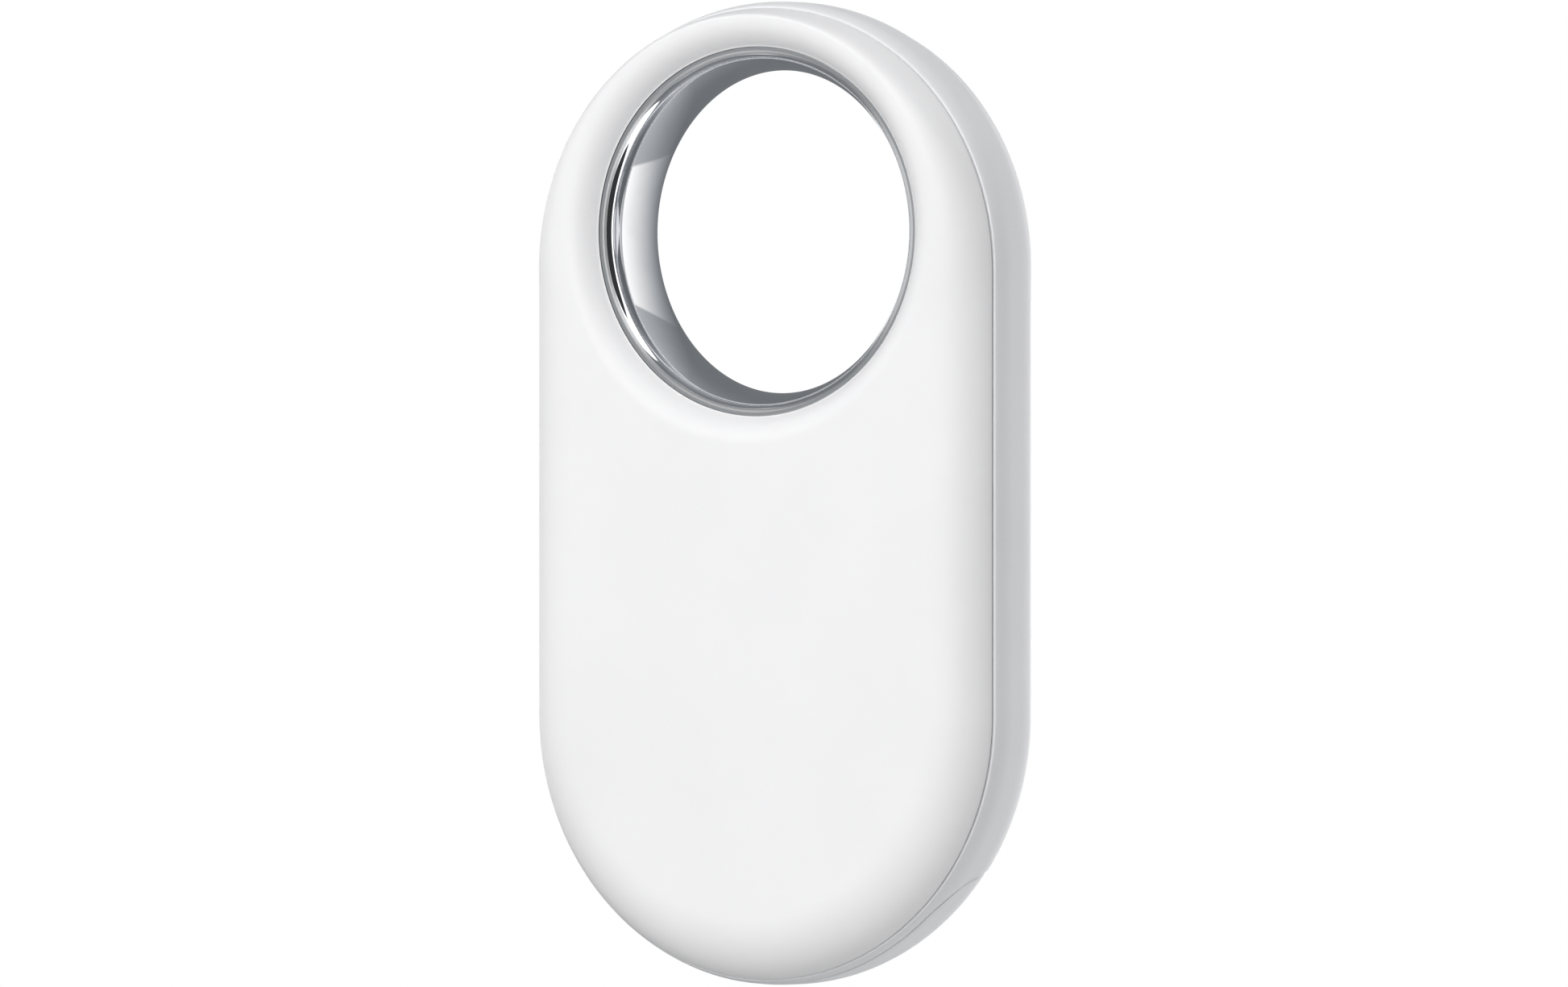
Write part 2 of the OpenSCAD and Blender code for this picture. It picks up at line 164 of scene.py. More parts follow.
class Value:
    """One socket of a node tree; arithmetic on it adds Math nodes."""

    def __init__(self, nodes, socket):
        self.nodes, self.socket = nodes, socket

    def math(self, operation, *values):
        return self.nodes.add(
            "ShaderNodeMath", {"operation": operation}, dict(enumerate(values))
        )

    def __add__(self, other):
        return self.math("ADD", self, other)

    __radd__ = __add__

    def __sub__(self, other):
        return self.math("SUBTRACT", self, other)

    def __rsub__(self, other):
        return self.math("SUBTRACT", other, self)

    def __mul__(self, other):
        return self.math("MULTIPLY", self, other)

    __rmul__ = __mul__

    def __truediv__(self, other):
        return self.math("DIVIDE", self, other)

    def __rtruediv__(self, other):
        return self.math("DIVIDE", other, self)

    def __pow__(self, other):
        return self.math("POWER", self, other)

    def __abs__(self):
        return self.math("ABSOLUTE", self)

    def max(self, other):
        return self.math("MAXIMUM", self, other)

    def above(self, low, high):
        """0 below low, 1 above high, smooth between."""
        return self.nodes.add(
            "ShaderNodeMapRange",
            {"interpolation_type": "SMOOTHSTEP"},
            {"Value": self, "From Min": low, "From Max": high},
        )

    def between(self, low, high, soft):
        return self.above(low - soft, low + soft) * (
            1 - self.above(high - soft, high + soft)
        )


class Nodes:
    """A node tree, with one method that adds any node, and mix for two colours."""

    def __init__(self, tree):
        self.tree = tree
        tree.nodes.clear()

    def add(self, kind, settings=None, inputs=None, output=0):
        made = self.tree.nodes.new(kind)
        for name, value in (settings or {}).items():
            setattr(made, name, value)
        for name, value in (inputs or {}).items():
            self.join(value, made.inputs[name])
        return Value(self, made.outputs[output])

    def join(self, value, socket):
        if isinstance(value, Value):
            self.tree.links.new(value.socket, socket)
        else:
            socket.default_value = value

    def mix(self, mask, first, second):
        """The first colour where the mask is 0, the second where it is 1."""
        colours = {"Factor": mask, 6: (*first, 1), 7: (*second, 1)}
        return self.add("ShaderNodeMix", {"data_type": "RGBA"}, colours, 2)


class Finish(Nodes):
    """A material around one Principled shader; constants go straight on its sockets."""

    def __init__(self, name, colour, roughness, metallic=0.0, **sockets):
        self.material = bpy.data.materials.new(name)
        self.material.use_nodes = True
        super().__init__(self.material.node_tree)
        self.colour = colour
        shader = self.add("ShaderNodeBsdfPrincipled")
        self.sockets = shader.socket.node.inputs
        self.set("Base Color", (*colour, 1))
        self.set("Roughness", roughness)
        self.set("Metallic", metallic)
        for key, value in sockets.items():
            self.set(key.replace("_", " "), value)
        self.shader = shader
        self.out = self.tree.nodes.new("ShaderNodeOutputMaterial")
        self.tree.links.new(shader.socket, self.out.inputs["Surface"])
        self.place = self.add("ShaderNodeTexCoord", output="Object")

    def set(self, socket, value):
        self.join(value, self.sockets[socket])

    def cover_with(self, kind, mask):
        """Another shader where the mask is 1."""
        other = self.add(kind)
        mixed = self.add("ShaderNodeMixShader", {}, {0: mask, 1: self.shader, 2: other})
        self.tree.links.new(mixed.socket, self.out.inputs["Surface"])

    def noise(self, size, detail=2.0, roughness=0.5, place=None):
        """Noise whose blotches are about size millimetres across, from 0 to 1."""
        return self.add(
            "ShaderNodeTexNoise",
            {"noise_dimensions": "3D"},
            {
                "Vector": place or self.place,
                "Scale": 1 / (size * MM),
                "Detail": detail,
                "Roughness": roughness,
            },
        )

    def stretched(self, along):
        """Object coordinates, scaled along each axis: below 1 makes blotches longer."""
        return self.add(
            "ShaderNodeMapping",
            {"vector_type": "POINT"},
            {"Vector": self.place, "Scale": along},
        )

    def axes(self):
        """The object coordinates one by one, in millimetres."""
        split = self.add("ShaderNodeSeparateXYZ", {}, {"Vector": self.place}).socket.node
        return [Value(self, axis) / MM for axis in split.outputs]

    def tint(self, mask, other):
        """The base colour, turning to another where the mask is 1."""
        self.set("Base Color", self.mix(mask, self.colour, other))

    def relief(self, height, depth):
        """A bump whose height of 1 stands depth millimetres proud."""
        bump = {"Height": height, "Distance": depth * MM, "Strength": 1.0}
        self.set("Normal", self.add("ShaderNodeBump", {}, bump))


def moulded(name, colour, roughness, grain=0.004, speck=0.05, **sockets):
    """Moulded plastic: a fine even grain, and faint blotches of shade and sheen."""
    made = Finish(name, colour, roughness, **sockets)
    blotch = made.noise(9.0, 3.0)
    made.tint(blotch.above(0.35, 0.75) * 0.5, [c * (1 - speck) for c in colour])
    fine = made.noise(0.16, 3.0, 0.6)
    made.set("Roughness", roughness - 0.04 + fine * 0.05 + blotch * 0.03)
    made.relief(fine, grain)
    return made


def worked_metal(name, colour, roughness, lines=(1, 1, 1), depth=0.002, size=0.1):
    """Metal with fine marks, stretched by lines, and slight blotches of polish."""
    made = Finish(name, colour, roughness, 1.0)
    marks = made.noise(size, 4.0, 0.6, made.stretched(lines))
    blotch = made.noise(3.0, 2.0)
    made.tint(marks.above(0.3, 0.8) * 0.4, [c * 0.86 for c in colour])
    made.set("Roughness", roughness - 0.05 + marks * 0.06 + blotch * 0.04)
    made.relief(marks, depth)
    return made


def stamped_can(name, colour, roughness, arm=2.6, half=0.32, soft=0.06, depth=0.04):
    """Brushed steel with a plus sign pressed into the cell's flat face. arm is its half
    length and half its half width."""
    lines = (0.15, 1, 1)
    made = worked_metal(name, colour, roughness, lines)
    x, y, z = made.axes()
    across = abs(x - CELL_AT[0])
    up = abs(z - CELL_AT[1])

    def bar(long, short):
        within = 1 - long.above(arm - soft, arm + soft)
        return within * (1 - short.above(half - soft, half + soft))

    on_face = y.above(can_high.y - 0.1, can_high.y - 0.05)
    sign = bar(across, up).max(bar(up, across)) * on_face
    marks = made.noise(0.1, 4.0, 0.6, made.stretched(lines))
    made.relief(marks * 0.05 - sign, depth)
    return made


def sheet_rubber(name, colour, roughness):
    """Rubber, foam or pressed powder: a dull sheet with a fine, paler speckle."""
    made = Finish(name, colour, roughness)
    fine = made.noise(0.08, 4.0, 0.7)
    made.tint(fine.above(0.3, 0.8), [c * 1.4 for c in colour])
    made.set("Roughness", roughness - 0.06 + fine * 0.1)
    made.relief(fine, 0.006)
    return made


# The covers' plastic is matt
SHEEN = {"Specular_IOR_Level": 0.22}
# One finish for each material slot of the CAD
FINISHES = {
    "cover_front": moulded("front_plastic", (0.90, 0.90, 0.905), 0.42, **SHEEN),
    "cover_rear": moulded("rear_plastic", (0.86, 0.865, 0.88), 0.42, **SHEEN),
    "tray_plastic": moulded("tray_plastic", (0.86, 0.865, 0.88), 0.42, **SHEEN),
    "gasket": sheet_rubber("gasket_foam", (0.30, 0.30, 0.31), 0.85),
    "bezel": worked_metal("bezel_steel", (0.62, 0.63, 0.64), 0.30, depth=0.001),
    "liner": worked_metal("liner_polish", (0.80, 0.81, 0.83), 0.05, depth=0.0001, size=2.0),
    "frame_plastic": moulded("frame_plastic", (0.08, 0.08, 0.085), 0.55, 0.008, 0.2),
    "circuit_board": moulded("solder_mask", (0.05, 0.16, 0.09), 0.35, 0.003, 0.3),
    "nickel_sheet": worked_metal("nickel_sheet", (0.66, 0.65, 0.62), 0.33, (1, 1, 0.1)),
    "chip_plastic": moulded("chip_plastic", (0.05, 0.05, 0.055), 0.5, 0.006, 0.3),
    "spring_steel": worked_metal("spring_steel", (0.60, 0.60, 0.61), 0.3, (1, 1, 0.1)),
    "pad_plastic": moulded("pad_plastic", (0.72, 0.73, 0.74), 0.5),
    "copper_flex": worked_metal("copper_flex", (0.72, 0.42, 0.22), 0.38),
    "ferrite": sheet_rubber("ferrite_sheet", (0.10, 0.10, 0.11), 0.6),
    "contact_gold": worked_metal("contact_gold", (0.85, 0.66, 0.33), 0.25, (1, 1, 0.1)),
    "piezo_brass": worked_metal("piezo_brass", (0.80, 0.63, 0.32), 0.3, (0.1, 1, 1)),
    "piezo_white": moulded("piezo_white", (0.82, 0.80, 0.74), 0.6, 0.005, 0.1),
    "seal_rubber": sheet_rubber("seal_rubber", (0.10, 0.10, 0.105), 0.65),
    "cell_steel": stamped_can("cell_steel", (0.74, 0.74, 0.75), 0.22),
    "grommet_plastic": moulded("grommet_plastic", (0.12, 0.12, 0.13), 0.55, 0.006, 0.2),
}

slot_of = {s["node"]: s["material_slot"] for s in frame["record"]["subparts"]}
for node_name, node in frame["nodes"].items():
    node.data.materials.clear()
    node.data.materials.append(FINISHES[slot_of[node_name]].material)


# ---- Pieces ----


def ring_of(geometry):
    """The new edge ring that an extrusion made."""
    fresh = {v for v in geometry if isinstance(v, bmesh.types.BMVert)}
    edges = [e for e in geometry if isinstance(e, bmesh.types.BMEdge)]
    return [e for e in edges if set(e.verts) <= fresh]


def finished(name, bm, node, sharp=30.0, carve=None):
    """Makes a mesh object of a millimetre bmesh, in the place and finish of a CAD node.
    Edges over sharp degrees stay sharp, and each tool in carve is cut away."""
    bmesh.ops.remove_doubles(bm, verts=bm.verts, dist=1e-4)
    bmesh.ops.delete(bm, geom=[e for e in bm.edges if not e.link_faces], context="EDGES")
    bmesh.ops.recalc_face_normals(bm, faces=bm.faces)
    bmesh.ops.scale(bm, vec=(MM, MM, MM), verts=bm.verts)
    mesh = bpy.data.meshes.new(name)
    bm.to_mesh(mesh)
    bm.free()
    made = bpy.data.objects.new(name, mesh)
    scene.collection.objects.link(made)
    for tool in carve or []:
        cut(made, tool)
    for face in made.data.polygons:
        face.use_smooth = True
    made.data.set_sharp_from_angle(angle=math.radians(sharp))
    made.data.materials.clear()
    made.data.materials.append(FINISHES[slot_of[node]].material)
    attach(made, frame["nodes"][node]["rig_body"])
    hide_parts(node)
    return made


def cut(made, tool):
    """Takes the closed millimetre bmesh tool out of a finished mesh."""
    bmesh.ops.recalc_face_normals(tool, faces=tool.faces)
    bmesh.ops.scale(tool, vec=(MM, MM, MM), verts=tool.verts)
    mesh = bpy.data.meshes.new("tool")
    tool.to_mesh(mesh)
    tool.free()
    cutter = bpy.data.objects.new("tool", mesh)
    scene.collection.objects.link(cutter)
    carve = made.modifiers.new("carve", "BOOLEAN")
    carve.operation, carve.solver, carve.object = "DIFFERENCE", "EXACT", cutter
    graph = bpy.context.evaluated_depsgraph_get()
    result = bpy.data.meshes.new_from_object(made.evaluated_get(graph))
    made.modifiers.clear()
    made.data = result
    bpy.data.objects.remove(cutter)


# ---- Covers ----


def true_inset(depth, roll=EDGE_ROLL, thickness=THICKNESS):
    """How far a rolled edge has drawn in at a depth below the nearer face."""
    rest = roll - min(depth, thickness - depth)
    return roll - math.sqrt(roll * roll - rest * rest) if rest > 0 else 0.0


def soft_min(a, b, soft):
    """The lesser of two lengths, with a smooth turn where they are about equal."""
    return (a + b - math.sqrt((a - b) ** 2 + soft * soft)) / 2


def bezier(a, b, c, d, u):
    """A cubic curve from a to d, drawn towards b and then c."""
    v = 1 - u
    return a * v**3 + b * (3 * u * v * v) + c * (3 * u * u * v) + d * u**3


class Station:
    """A place on the tag's outline: where the edge's roll ends there, and the ridge between
    that roll and the dip into the ring, which lies a little lower where they meet."""

    def __init__(self, spine, angle):
        self.spine = Vector((0, spine))
        self.out = Vector((math.sin(angle), math.cos(angle)))
        rise = max(0.0, self.out.y)
        self.ridge_r = DIP_R - RIDGE_PULL * rise * rise
        room = self.gap_to(self.ridge_r) - RIDGE_FLAT
        self.roll_end = soft_min(EDGE_ROLL, room, RIDGE_SOFT)
        self.squeeze = (EDGE_ROLL - self.roll_end) / FULL_SQUEEZE
        self.ridge = RIDGE_DEPTH * self.squeeze**2
        self.collar_gap = self.gap_to(COLLAR_R)
        # The direction of the roll's end, from the ring's centre
        end = self.spine + self.out * (BODY_R - self.roll_end)
        self.towards = end.normalized()

    def gap_to(self, radius):
        """How far in from the outline a circle round the ring's centre lies."""
        along = self.spine.dot(self.out)
        under = radius * radius - self.spine.length_squared + along * along
        return BODY_R + along - math.sqrt(under) if under > 0 else 100.0

    def outer(self, inset, depth):
        """A point at a distance in from the outline, and below the cover's face."""
        return self.spine + self.out * (BODY_R - inset), depth

    def round(self, radius, depth):
        """A point at a distance from the ring's centre, and below the cover's face."""
        return self.towards * radius, depth

    def roll(self, start, u):
        """The edge's roll from the depth start up to the face, squeezed at the ridge."""
        inset = true_inset(start)
        sweep = math.asin((EDGE_ROLL - start) / EDGE_ROLL)
        handle = EDGE_ROLL * 4 / 3 * math.tan((math.pi / 2 - sweep) / 4)
        tall = (start - self.ridge) / start
        wide = (self.roll_end - inset) / (EDGE_ROLL - inset)
        first = Vector((inset, start))
        last = Vector((self.roll_end, self.ridge))
        upright = sweep * (1 - SQUEEZED_LEAN * self.squeeze)
        lean = Vector((math.sin(upright), -math.cos(upright)))
        spot = bezier(
            first, first + lean * handle * tall, last - Vector((handle * wide, 0)), last, u
        )
        return self.outer(*spot)

    def dip(self, u):
        """Steeper and steeper down from the ridge, then level at the foot by the bezel."""
        depth = self.ridge + (FOOT_DEPTH + FOOT_SOFT - self.ridge) * u**DIP_POWER
        over = max(0.0, depth - FOOT_DEPTH + FOOT_SOFT)
        radius = self.ridge_r - (self.ridge_r - FOOT_R) * u
        return self.round(radius, depth - over * over / (4 * FOOT_SOFT))

    def face(self, from_roll, from_dip):
        """A point of the flat face, at a distance from the roll's or the dip's edge."""
        outer, depth = self.outer(self.roll_end, self.ridge)
        inner = self.towards * self.ridge_r
        span = (outer - inner).length
        share = min(from_roll / span, 0.35) if from_roll else 1 - min(from_dip / span, 0.35)
        return outer.lerp(inner, share), depth

    def inside(self, depth, seam, ceiling, floor_z):
        """The inner wall at a depth, stopped by the ring's collar and the tray's throat."""
        hollow = THICKNESS - FAR_WALL - ceiling
        closest = WALL + true_inset(depth - ceiling, INNER_ROLL, hollow)
        edge = WALL + true_inset(seam - ceiling, INNER_ROLL, hollow)
        if closest >= self.collar_gap:
            rest = WALL + INNER_ROLL - self.collar_gap
            if self.collar_gap <= edge:
                low = seam
            elif rest > 0:
                low = ceiling + INNER_ROLL - math.sqrt(INNER_ROLL**2 - rest * rest)
            else:
                low = ceiling
            return self.round(COLLAR_R, low)
        reach = BODY_R - closest
        if floor_z is not None and self.out.y < 0:
            reach = min(reach, (floor_z - self.spine.y) / self.out.y)
        return self.spine + self.out * reach, depth


def outline_stations():
    """Places all round the outline: over the top, down, round the bottom and up."""
    arc = [i / ARC_STEPS for i in range(ARC_STEPS)]
    side = [i / SIDE_STEPS for i in range(SIDE_STEPS)]
    fall = LOW_SPINE - TOP_SPINE
    quarter = math.pi / 2
    return (
        [Station(TOP_SPINE, (2 * u - 1) * quarter) for u in arc]
        + [Station(TOP_SPINE + u * fall, quarter) for u in side]
        + [Station(LOW_SPINE, (2 * u + 1) * quarter) for u in arc]
        + [Station(LOW_SPINE - u * fall, 3 * quarter) for u in side]
    )


STATIONS = outline_stations()


def cover_rings(seam, ceiling, floor_z):
    """Each ring of a cover's shell as a rule from station to place, in the order of its
    section: seam, outer wall, face, dip, seat, then back along the inside."""
    rings = [
        lambda s: s.outer(true_inset(seam) + LIP, seam),
        lambda s: s.outer(true_inset(seam - LIP * 0.3) + LIP * 0.3, seam - LIP * 0.3),
    ]
    start = seam - LIP
    if seam > THICKNESS / 2:
        # The rear cover's wall: part of the far roll, a straight band, then the near roll
        far = THICKNESS - EDGE_ROLL
        low_angle = math.asin((start - far) / EDGE_ROLL)
        for i in range(9):
            depth = far + EDGE_ROLL * math.sin(low_angle * (1 - i / 8))
            rings.append(lambda s, d=depth: s.outer(true_inset(d), d))
        start = THICKNESS - REAR_SEAM - LIP
        top_angle = math.asin((EDGE_ROLL - start) / EDGE_ROLL)
        for i in range(8):
            depth = EDGE_ROLL - EDGE_ROLL * math.sin(top_angle * i / 8)
            rings.append(lambda s, d=depth: s.outer(true_inset(d), d))
    for i in range(ROLL_STEPS + 1):
        rings.append(lambda s, u=i / ROLL_STEPS: s.roll(start, u))
    rings.append(lambda s: s.face(FACE_EDGE, 0))
    rings.append(lambda s: s.face(0, FACE_EDGE))
    for i in range(ROLL_STEPS + 1):
        rings.append(lambda s, u=i / ROLL_STEPS: s.dip(u))
    seat = [
        (FOOT_R, FOOT_DEPTH + 0.02), (SEAT_R, FOOT_DEPTH + 0.02), (SEAT_R, seam - 0.05),
        (SEAT_R + 0.05, seam), (COLLAR_R, seam),
    ]
    for radius, depth in seat:
        rings.append(lambda s, r=radius, d=depth: s.round(r, d))
    rings.append(
        lambda s: s.inside(ceiling, seam, ceiling, floor_z)
        if s.collar_gap < WALL + INNER_ROLL
        else s.round(COLLAR_R, ceiling)
    )
    for i in range(9):
        depth = ceiling + min(INNER_ROLL, seam - ceiling) * (1 - math.cos(math.pi / 2 * i / 8))
        rings.append(lambda s, d=depth: s.inside(d, seam, ceiling, floor_z))
    rings.append(lambda s: s.inside(seam, seam, ceiling, floor_z))
    rings.append(rings[0])
    return rings


def cover(face_y, inward, seam, ceiling, floor_z):
    """A cover's shell: one ring round the outline, extruded from rule to rule. inward is 1
    for the front cover and -1 for the rear one, and floor_z ends the room at the bottom."""
    bm = bmesh.new()
    bmesh.ops.create_circle(bm, segments=len(STATIONS), radius=BODY_R)
    number = bm.verts.layers.int.new("station")
    bm.verts.ensure_lookup_table()
    for i, v in enumerate(bm.verts):
        v[number] = i
    edges = list(bm.edges)
    for step, place in enumerate(cover_rings(seam, ceiling, floor_z)):
        if step:
            edges = ring_of(bmesh.ops.extrude_edge_only(bm, edges=edges)["geom"])
        for v in {v for e in edges for v in e.verts}:
            spot, depth = place(STATIONS[v[number]])
            v.co = (spot.x, face_y + inward * depth, spot.y)
    return bm


def disc_tool(x, z, radius, y0, y1):
    """A closed cylinder along Y, for cutting."""
    bm = bmesh.new()
    bmesh.ops.create_cone(
        bm, cap_ends=True, segments=96, radius1=radius, radius2=radius, depth=y1 - y0,
        matrix=Matrix.Translation((x, (y0 + y1) / 2, z)) @ Matrix.Rotation(math.pi / 2, 4, "X"),
    )
    return bm


def pill_ring(bm, half_w, half_t, z, straight=72, round_steps=28):
    """A pill-shaped ring of edges: two straight runs along X, joined by half circles."""
    side = straight + round_steps
    made = bmesh.ops.create_circle(bm, segments=2 * side, radius=half_t)["verts"]
    core = half_w - half_t
    for i, v in enumerate(made):
        flip, step = 1 - 2 * (i // side), i % side
        if step < straight:
            x, y = core * (1 - 2 * step / straight), half_t
        else:
            angle = math.pi * (step - straight) / round_steps
            x, y = -core - half_t * math.sin(angle), half_t * math.cos(angle)
        v.co = (x * flip, DOOR_Y + y * flip, z)
    return list({e for v in made for e in v.link_edges})


def pill_tool(half_w, half_t, z0, z1):
    """A closed pill-shaped bar along Z, for cutting."""
    bm = bmesh.new()
    edges = pill_ring(bm, half_w, half_t, z0)
    bmesh.ops.contextual_create(bm, geom=edges)
    lid = bmesh.ops.extrude_face_region(bm, geom=list(bm.faces))["geom"]
    bmesh.ops.translate(
        bm, vec=(0, 0, z1 - z0), verts=[v for v in lid if isinstance(v, bmesh.types.BMVert)]
    )
    return bm


# The front cover is thinned over the button, where it flexes
finished(
    "front_cover_shell",
    cover(FRONT_Y, 1, FRONT_SEAM, FRONT_CEILING, None),
    "front_cover",
    carve=[disc_tool(0, LOW_SPINE, pad_high.x + FLEX_REACH, pad_low.y, FRONT_Y + FLEX_DEPTH)],
)
# The rear cover is open at the bottom end for the tray's door
finished(
    "rear_cover_shell",
    cover(REAR_Y, -1, REAR_SEAM, REAR_CEILING, THROAT_TOP),
    "rear_cover",
    carve=[
        pill_tool(
            DOOR_HALF_W + DOOR_GAP, DOOR_HALF_T + DOOR_GAP, front_low.z - 1, NECK_TOP + 1
        )
    ],
)


# ---- Ring ----


def turned(profile, steps=RING_STEPS, axis_at=(0, 0)):
    """Spins a closed outline of radius and Y about an axis along Y."""
    bm = bmesh.new()
    verts = [bm.verts.new((axis_at[0] + r, y, axis_at[1])) for r, y in profile]
    edges = [bm.edges.new((a, b)) for a, b in zip(verts, verts[1:] + verts[:1])]
    bmesh.ops.spin(
        bm, geom=verts + edges, cent=(axis_at[0], 0, axis_at[1]), axis=(0, 1, 0),
        angle=2 * math.pi, steps=steps, use_merge=True,
    )
    return bm


def bezel_profile(side):
    """A flat face that rolls gently down to a chamfer at the inner edge, with softened
    corners. side is 1 for the front bezel and -1 for the rear one."""
    face, back = bezel_low.y, bezel_high.y
    out_r, in_r = BEZEL_OUT_R, BEZEL_INNER_R
    # Radius, and depth below the face
    section = [
        (out_r, 0.04), (out_r - 0.02, 0.012), (out_r - 0.05, 0), (in_r + 0.22, 0.015),
        (in_r + 0.14, 0.04), (in_r + 0.09, 0.065), (in_r + 0.01, 0.108), (in_r, 0.12),
    ]
    points = [(out_r, back)] + [(r, face + depth) for r, depth in section] + [(in_r, back)]
    return [(r, y * side) for r, y in points]


finished("front_bezel_ring", turned(bezel_profile(1)), "front_bezel", 20)
finished("rear_bezel_ring", turned(bezel_profile(-1)), "rear_bezel", 20)


def liner_profile():
    """A long, slight roll over the waist, and a tight one that turns it out to each bezel."""
    centre_r = WAIST_R + LINER_ROLL
    lean = math.asin(LINER_REACH / LINER_ROLL)
    leans = [lean * u / 30 for u in range(1, 31)]
    roll = [(centre_r - LINER_ROLL * math.cos(a), LINER_ROLL * math.sin(a)) for a in leans]
    lip_r = centre_r - LINER_ROLL * math.cos(lean) + LINER_LIP_ROLL * math.cos(lean)
    lip_y = LINER_REACH - LINER_LIP_ROLL * math.sin(lean)
    leans = [lean + (LINER_LIP_LEAN - lean) * u / 12 for u in range(1, 13)]
    lip = [
        (lip_r - LINER_LIP_ROLL * math.cos(a), lip_y + LINER_LIP_ROLL * math.sin(a))
        for a in leans
    ]
    step_y = -bezel_high.y
    half = roll + lip + [(lip[-1][0], step_y), (liner_high.x, step_y)]
    return half[::-1] + [(WAIST_R, 0.0)] + [(r, -y) for r, y in half]


finished("ring_liner_sleeve", turned(liner_profile()), "ring_liner", 30)


# ---- Battery tray ----


def door_surface(x, y):
    """The lowest Z of the tag's form at X and Y, drawn in by the door's inset."""
    roll = EDGE_ROLL - DOOR_INSET
    depth = min(y - FRONT_Y, REAR_Y - y) - DOOR_INSET
    inset = DOOR_INSET + true_inset(depth, roll, 100)
    reach = BODY_R - inset
    return LOW_SPINE - math.sqrt(max(reach * reach - x * x, 0.0))


def tray_door():
    """The door and its neck: pill-shaped rings from the door's middle line, over its rounded
    face, round the edge, up past the seal's groove to the top of the neck."""
    bm = bmesh.new()
    edges = pill_ring(bm, DOOR_HALF_W, DOOR_HALF_T, 0)
    place = bm.verts.layers.float_vector.new("pill")
    for v in bm.verts:
        v[place] = v.co

    def put(inset, z=None, lift=0.0):
        """Moves the ring in from the door's edge, to a height or over the tag's form."""
        for v in {v for e in edges for v in e.verts}:
            whole = v[place]
            core = min(max(whole.x, DOOR_HALF_T - DOOR_HALF_W), DOOR_HALF_W - DOOR_HALF_T)
            share = (DOOR_HALF_T - inset) / DOOR_HALF_T
            x = core + (whole.x - core) * share
            y = DOOR_Y + (whole.y - DOOR_Y) * share
            v.co = (x, y, door_surface(x, y) + lift if z is None else z)

    steps = [(DOOR_HALF_T * (1 - u / 24), None, 0.0) for u in range(24)]
    # The door's edge is rounded
    steps += [(0.12, None, 0.0), (0.05, None, 0.03), (0.02, None, 0.1), (0, None, 0.4)]
    # The neck is wider than the door, so that no light passes through the gap round it
    steps += [
        (-NECK_GROW, None, 0.5), (-NECK_GROW, SEAL_LOW - 0.02), (0, SEAL_LOW),
        (SEAL_DEPTH, SEAL_LOW), (SEAL_DEPTH, SEAL_HIGH), (0.02, SEAL_HIGH),
        (0, SEAL_HIGH + 0.02), (0, NECK_TOP - 0.04), (0.04, NECK_TOP), (DOOR_HALF_T, NECK_TOP),
    ]
    for i, step in enumerate(steps):
        if i:
            edges = ring_of(bmesh.ops.extrude_edge_only(bm, edges=edges)["geom"])
        put(*step)
    return bm


def pin_tool():
    """A closed cylinder along Z, for the eject pin's hole."""
    bm = bmesh.new()
    bmesh.ops.create_cone(
        bm, cap_ends=True, segments=48, radius1=PIN_HOLE_R, radius2=PIN_HOLE_R, depth=12,
        matrix=Matrix.Translation((PIN_X, DOOR_Y, NECK_TOP)),
    )
    return bm


finished("tray_door", tray_door(), "battery_tray", carve=[pin_tool()])


def tray_frame():
    """The open frame that holds the cell: the CAD tray above its neck, edges softened."""
    bm = bmesh.new()
    bm.from_mesh(frame["nodes"]["battery_tray"].data)
    bmesh.ops.scale(bm, vec=(1 / MM,) * 3, verts=bm.verts)
    bmesh.ops.remove_doubles(bm, verts=bm.verts, dist=1e-3)
    sliced = bmesh.ops.bisect_plane(
        bm, geom=bm.verts[:] + bm.edges[:] + bm.faces[:],
        plane_co=(0, 0, NECK_TOP + 0.002), plane_no=(0, 0, 1), clear_inner=True,
    )["geom_cut"]
    bmesh.ops.holes_fill(bm, edges=[e for e in sliced if isinstance(e, bmesh.types.BMEdge)])
    bmesh.ops.dissolve_limit(
        bm, angle_limit=math.radians(1), verts=bm.verts, edges=bm.edges,
        use_dissolve_boundaries=False,
    )
    return bm


tray = finished("tray_frame", tray_frame(), "battery_tray")
bevel = tray.modifiers.new("soften", "BEVEL")
bevel.width, bevel.segments = TRAY_SOFT * MM, 2
bevel.limit_method, bevel.angle_limit = "ANGLE", math.radians(35)


# ---- Coin cell ----


def can_profile():
    """A drawn cup: a rounded base edge, a rim turned in over the grommet."""
    front, back, r = can_low.y, can_high.y, CELL_R
    base_r, rim_r, sheet, rim_width = 0.3, 0.35, 0.25, 0.9
    turns = [math.pi / 2 * u / 6 for u in range(7)]
    base = [
        (r - base_r + base_r * math.sin(a), back - base_r + base_r * math.cos(a))
        for a in turns
    ]
    rim = [
        (r - rim_r + rim_r * math.cos(a), front + rim_r - rim_r * math.sin(a)) for a in turns
    ]
    inner = [
        (r - rim_width, front), (r - rim_width, front + 0.12), (r - sheet, front + rim_r),
        (r - sheet, back - sheet), (0.0, back - sheet),
    ]
    return [(0.0, back)] + base + rim + inner


finished("cell_can_cup", turned(can_profile(), 192, CELL_AT), "cell_can")


# ---- Studio ----

scene.view_settings.view_transform = "Standard"

# Directions are a turn from the front towards +X and a rise above the horizon, in degrees
LENS = 500.0
DISTANCE = 2.322 * LENS * MM
CAMERA_TURN = 31
AIM = Vector((0, 0, -13.95 * MM))
LAMP_DISTANCE = 0.6
